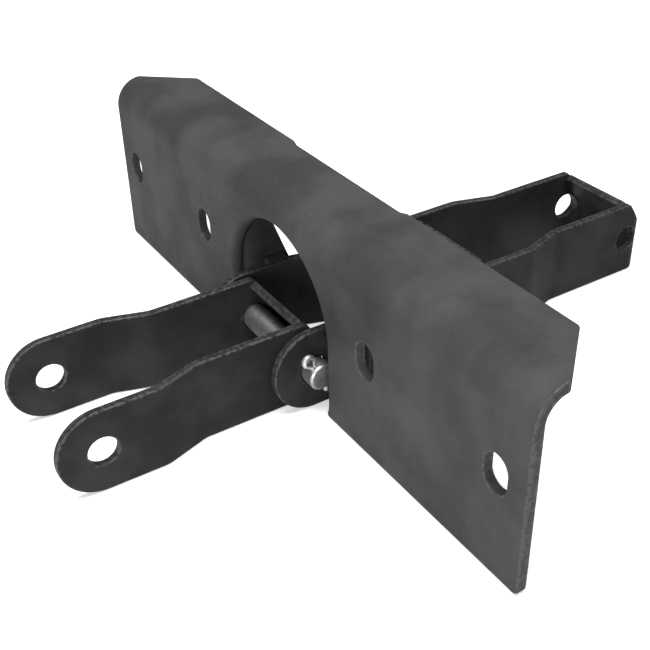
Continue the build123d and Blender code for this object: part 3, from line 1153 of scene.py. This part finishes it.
@dataclass
class LugWelds:
    """The four fillet welds round one lug."""

    side: str
    lug: CarrierLug
    body: str = "carrier"
    strap_height: float = 50.0
    inset: float = 3.0
    leg: float = 4.0

    def build(self, material: bpy.types.Material, middle_pin_y: float) -> None:
        """Builds and dresses the lug's two pairs of beads.

        Args:
            material: The welds' finish.
            middle_pin_y: The middle link's eye centre, in millimetres.
        """
        lug = self.lug
        x, rear = lug.eye_half_width, middle_pin_y + lug.side_depth
        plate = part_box(f"{self.side}_lug")[0].y / MM
        along_x, along_y, up = (1, 0, 0), (0, 1, 0), (0, 0, 1)
        wing, top, inset = lug.wing_x, self.strap_height, self.inset
        low, clip = lug.bottom + inset, lug.clip_height - inset
        to_link = [
            FilletBead((x - 0.4, rear, low), (x - 0.4, rear, clip), along_x, along_y),
            FilletBead((x, plate + lug.bend_radius, top), (x, rear - 4, top), (-1, 0, 0), up),
        ]
        to_plate = [
            FilletBead((wing, plate, low), (wing, plate, lug.top - inset), along_x, along_y),
            FilletBead((lug.notch_x, plate, lug.top), (wing - inset, plate, lug.top), up, along_y),
        ]
        for name, beads, seed in (("link", to_link, 3), ("plate", to_plate, 8)):
            draft = MeshDraft()
            for number, bead in enumerate(beads):
                bead.add_to(draft, self.side == "left", seed + number + (20 if self.side == "left" else 0))
            made = draft.piece(f"{self.side}_{name}_weld_beads")
            dress(made, material, self.body, "weld_steel", f"{self.side}_{name}_welds")


# ---------------------------------------------------------------- pins


@dataclass
class ClevisPin:
    """A turned, headed pin along X. Its split pin fills the cross hole, which isn't cut. Millimetres."""

    place: str
    turn: float
    radius: float = 8.0
    head_radius: float = 12.0
    head_thickness: float = 5.5
    chamfer: float = 1.2
    centre_mark: float = 1.6
    pin_height: float = 25.0
    split_pin_x: float = 44.6
    segments: int = 96

    @property
    def body(self) -> str:
        """The CAD body that the pin and its split pin ride on."""
        return f"{self.place}_pin"

    def centre_y(self) -> float:
        """The pin axis's place along Y, in millimetres."""
        low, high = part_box(f"{self.place}_pin")
        return (low.y + high.y) / 2 / MM

    def profile(self, head_x: float, tail_x: float) -> list[tuple[float, float, float, float]]:
        """The turned outline as rings: place along X, radius, and the normal's X and radial shares."""
        neck, c = head_x + self.head_thickness, self.chamfer
        mark = self.centre_mark
        rows = [(head_x + 1.0, 0.0, -1, 0), (head_x, mark, -1, 0)]
        face = self.head_radius - c
        rows += [(head_x, face, -1, 0)]
        for k in (1, 2, 3):
            a = QUARTER * k / 3
            rows.append((head_x + c * (1 - math.cos(a)), face + c * math.sin(a), -math.cos(a), math.sin(a)))
        rows += [(neck - 0.6, self.head_radius, 0, 1), (neck - 0.17, self.head_radius - 0.17, 0.7, 0.7),
                 (neck, self.head_radius - 0.6, 1, 0), (neck, self.radius + 0.5, 1, 0),
                 (neck + 0.15, self.radius + 0.15, 0.7, 0.7), (neck + 0.5, self.radius, 0, 1)]
        steps, run = 24, tail_x - c - neck - 0.5
        rows += [(neck + 0.5 + run * k / steps, self.radius, 0, 1) for k in range(1, steps + 1)]
        rows += [(tail_x - c, self.radius, 0.3, 0.95), (tail_x - 0.25, self.radius - c + 0.1, 0.7, 0.7),
                 (tail_x, self.radius - c - 0.3, 1, 0), (tail_x, mark, 1, 0), (tail_x - 1.2, 0.0, 1, 0)]
        return rows

    def build(self, steel: bpy.types.Material) -> bpy.types.Object:
        """Builds and dresses the pin.

        Args:
            steel: The pin's finish.

        Returns:
            The pin.
        """
        low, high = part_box(f"{self.place}_pin")
        centre = np.array([0.0, self.centre_y(), self.pin_height])
        draft = MeshDraft()
        firsts = []
        angles = np.arange(self.segments) * 2 * math.pi / self.segments
        round_ = np.stack([np.zeros(self.segments), np.cos(angles), np.sin(angles)], 1)
        for x, r, nx, nr in self.profile(low.x / MM, high.x / MM):
            points = centre + round_ * max(r, 0.01) + np.array([x, 0, 0])
            blank = np.stack([np.full(self.segments, x + 200.0 * (self.place == "rear")),
                              round_[:, 1] * r, round_[:, 2] * r], 1)
            firsts.append(draft.add(points * MM, round_ * nr + np.array([nx, 0, 0]), blank))
        draft.tube(firsts, self.segments)
        made = draft.piece(f"{self.place}_clevis_pin")
        dress(made, steel, self.body, "pin_steel", f"{self.place}_pin")
        return made


@dataclass
class SplitPin:
    """A split pin folded from half-round wire, through the tail of a clevis pin. Millimetres."""

    pin: ClevisPin
    wire_radius: float = 2.1
    loop_inner_radius: float = 2.2
    loop_reach: float = 12.4
    neck_reach: float = 8.6
    foot_reach: float = 9.0
    leg_spreads: tuple[float, float] = (38.0, 27.0)
    leg_lengths: tuple[float, float] = (6.2, 5.2)
    gap: float = 0.06

    def line(self) -> np.ndarray:
        """The flat side's line from one leg's tip round the loop to the other's.

        Returns:
            Points as reach from the pin axis and distance across, evenly spaced.
        """
        half = []
        for side, spread, length in zip((1, -1), self.leg_spreads, self.leg_lengths):
            a = math.radians(spread)
            hip = (-self.foot_reach, side * self.gap)
            tip = (hip[0] - length * math.cos(a), hip[1] + side * length * math.sin(a))
            half.append([tip, hip, (self.neck_reach, side * self.gap)])
        apart = self.loop_reach - self.neck_reach
        open_angle = math.acos(min(0.98, self.loop_inner_radius / apart))
        loop = []
        for k in range(33):
            a = open_angle + (2 * math.pi - 2 * open_angle) * k / 32
            across = self.loop_inner_radius * math.sin(a)
            loop.append((self.loop_reach - self.loop_inner_radius * math.cos(a), across))
        points = np.array(half[0] + loop + half[1][::-1])
        points = self.resampled(points, 0.3)
        for _ in range(6):
            points[1:-1] = (points[:-2] + 2 * points[1:-1] + points[2:]) / 4
        return points

    @staticmethod
    def resampled(points: np.ndarray, step: float) -> np.ndarray:
        """Spaces a line's points evenly by about step."""
        lengths = np.concatenate([[0], np.cumsum(np.linalg.norm(np.diff(points, axis=0), axis=1))])
        marks = np.linspace(0, lengths[-1], round(lengths[-1] / step) + 1)
        return np.stack([np.interp(marks, lengths, points[:, k]) for k in (0, 1)], 1)

    def build(self, wire: bpy.types.Material) -> bpy.types.Object:
        """Builds and dresses the split pin.

        Args:
            wire: The wire's finish.

        Returns:
            The split pin.
        """
        pin, line = self.pin, self.line()
        ahead = np.gradient(line, axis=0)
        ahead /= np.linalg.norm(ahead, axis=1)[:, None]
        away = np.stack([-ahead[:, 1], ahead[:, 0]], 1)
        if away[len(line) // 2][0] < 0:
            away = -away
        turn = math.radians(pin.turn)
        reach_axis = np.array([0.0, -math.sin(turn), math.cos(turn)])
        cross_axis = np.array([0.0, math.cos(turn), math.sin(turn)])
        centre = np.array([pin.split_pin_x, pin.centre_y(), pin.pin_height])
        soft = 0.18
        section = [(math.cos(a), math.sin(a)) for a in np.linspace(-QUARTER + soft, QUARTER - soft, 13)]
        section += [(0.02, 0.93), (0.0, 0.8), (0.0, 0.0), (0.0, -0.8), (0.02, -0.93)]
        draft = MeshDraft()
        firsts = []
        last = len(line) - 1
        for i, (p, n) in enumerate(zip(line, away)):
            shrink = min(1.0, 0.55 + 0.25 * min(i, last - i))
            middle = centre + reach_axis * p[0] + cross_axis * p[1]
            out = reach_axis * n[0] + cross_axis * n[1]
            side = np.array([1.0, 0.0, 0.0])
            r = self.wire_radius * shrink
            points = np.array([middle + out * c * r + side * s * r for c, s in section])
            normals = np.array([out * (c if c > 0.05 else -0.6) + side * s * (1 if c > 0.05 else 0.2)
                                for c, s in section])
            blank = np.array([(i * 0.3, s * r, c * r) for c, s in section])
            firsts.append(draft.add(points * MM, normals, blank))
        draft.tube(firsts, len(section))
        made = draft.piece(f"{pin.place}_cotter")
        dress(made, wire, pin.body, "split_pin_steel", f"{pin.place}_split_pin")
        return made


# ---------------------------------------------------------------- studio


@dataclass
class Studio:
    """A pale floor, soft light and the camera. Metres."""

    floor_size: float = 12.0
    eye: tuple[float, float, float] = (0.4478, -0.3022, 0.3714)
    aim: tuple[float, float, float] = (0.0091, -0.0304, 0.0277)
    roll: float = -1.41
    lens: float = 58.57

    def camera(self) -> None:
        """Sets the camera up and makes it the scene's own."""
        data = bpy.data.cameras.new("camera")
        data.lens, data.sensor_width = self.lens, 36.0
        made = bpy.data.objects.new("camera", data)
        made.location = self.eye
        look = (Vector(self.aim) - Vector(self.eye)).to_track_quat("-Z", "Y")
        made.rotation_mode = "QUATERNION"
        made.rotation_quaternion = look @ Quaternion((0, 0, 1), math.radians(self.roll))
        bpy.context.scene.collection.objects.link(made)
        bpy.context.scene.camera = made

    @staticmethod
    def clean(tree: bpy.types.NodeTree, lighting: float, seen: float) -> bpy.types.NodeSocket:
        """Gives a surround one strength as a light and another as a plain clean background.

        Args:
            tree: The surround's nodes.
            lighting: The strength that lights the object.
            seen: The strength of the background itself.

        Returns:
            The strength.
        """
        path = add_node(tree, "ShaderNodeLightPath", {})
        made = add_node(
            tree, "ShaderNodeMath", {"operation": "MULTIPLY_ADD", 1: seen - lighting, 2: lighting},
            {0: path.outputs["Is Camera Ray"]},
        )
        return made.outputs[0]

    def floor(self) -> None:
        """Lays the pale floor."""
        h = self.floor_size / 2
        mesh = bpy.data.meshes.new("floor")
        mesh.from_pydata([(-h, -h, 0), (h, -h, 0), (h, h, 0), (-h, h, 0)], [], [(0, 1, 2, 3)])
        material = bpy.data.materials.new("matt_white_sweep")
        material.use_nodes = True
        shader = material.node_tree.nodes["Principled BSDF"]
        shader.inputs["Base Color"].default_value = srgb("f4f4f4")
        shader.inputs["Roughness"].default_value = 0.9
        shader.inputs["Emission Color"].default_value = srgb("ffffff")
        lift = self.clean(material.node_tree, 0.02, 0.45)
        material.node_tree.links.new(lift, shader.inputs["Emission Strength"])
        mesh.materials.append(material)
        made = bpy.data.objects.new("floor", mesh)
        made.location.z = -0.0004
        bpy.context.scene.collection.objects.link(made)

    def lamp(self, name: str, place: tuple[float, float, float], size: float, watts: float) -> None:
        """Hangs one square soft lamp that points at the object.

        Args:
            name: The lamp's name.
            place: Where it hangs.
            size: Its side.
            watts: Its power.
        """
        data = bpy.data.lights.new(name, "AREA")
        data.size, data.energy = size, watts
        made = bpy.data.objects.new(name, data)
        made.location = place
        made.rotation_euler = (Vector((0, 0, 0.05)) - Vector(place)).to_track_quat("-Z", "Y").to_euler()
        bpy.context.scene.collection.objects.link(made)

    def build(self) -> None:
        """Builds the whole studio."""
        world = bpy.data.worlds.new("studio")
        world.use_nodes = True
        world.node_tree.nodes["Background"].inputs["Color"].default_value = srgb("ffffff")
        strength = self.clean(world.node_tree, 0.1, 1.0)
        world.node_tree.links.new(strength, world.node_tree.nodes["Background"].inputs["Strength"])
        scene = bpy.context.scene
        scene.world = world
        scene.view_settings.view_transform = "Standard"
        self.camera()
        self.floor()
        self.lamp("key_softbox", (0.55, -0.95, 0.3), 0.5, 6.0)
        self.lamp("top_softbox", (0.2, -0.1, 1.9), 1.5, 58.0)


def main() -> None:
    """Builds the studio and every piece, in order."""
    logging.basicConfig(level=logging.INFO, format="%(name)s: %(message)s")
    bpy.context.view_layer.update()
    Studio().build()

    bar = PaintedHotRolledSteel("painted_flat_bar", "222223", "383839", "5c5c5e").build()
    paint = PaintedHotRolledSteel("painted_hot_rolled_plate", "343435", "4c4c4d", "5e5e60", cloud_mm=48.0)
    plate = paint.build()
    weld = PaintedHotRolledSteel("painted_weld_metal", "202021", "333334", "505052", peel_mm=0.7).build()
    turned = TurnedSteel("oiled_turned_steel").build()
    zinc = ZincPlatedWire("zinc_plated_wire").build()

    links = [("front_link", "front_link"), ("middle_link", "carrier"), ("rear_link", "rear_link")]
    for seed, (node, body) in enumerate(links, start=1):
        link = FlatBarLink(node, body, seed)
        link.build(bar)
        link.close_end(bar, weld)
    CrossPlate().build(plate)
    middle_pin_y = (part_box("middle_link")[0].y / MM) + FlatBarLink("", "", 0).height / 2
    for side in ("left", "right"):
        lug = CarrierLug(side)
        # The lugs take the links' darker bar paint, not the plate's, as painted shade for where the plate
        # shadows them.
        lug.build(bar, middle_pin_y)
        LugWelds(side, lug).build(weld, middle_pin_y)
    for place, turn in (("front", 31.0), ("rear", -50.0)):
        pin = ClevisPin(place, turn)
        pin.build(turned)
        SplitPin(pin).build(zinc)


if __name__ == "__main__":
    main()
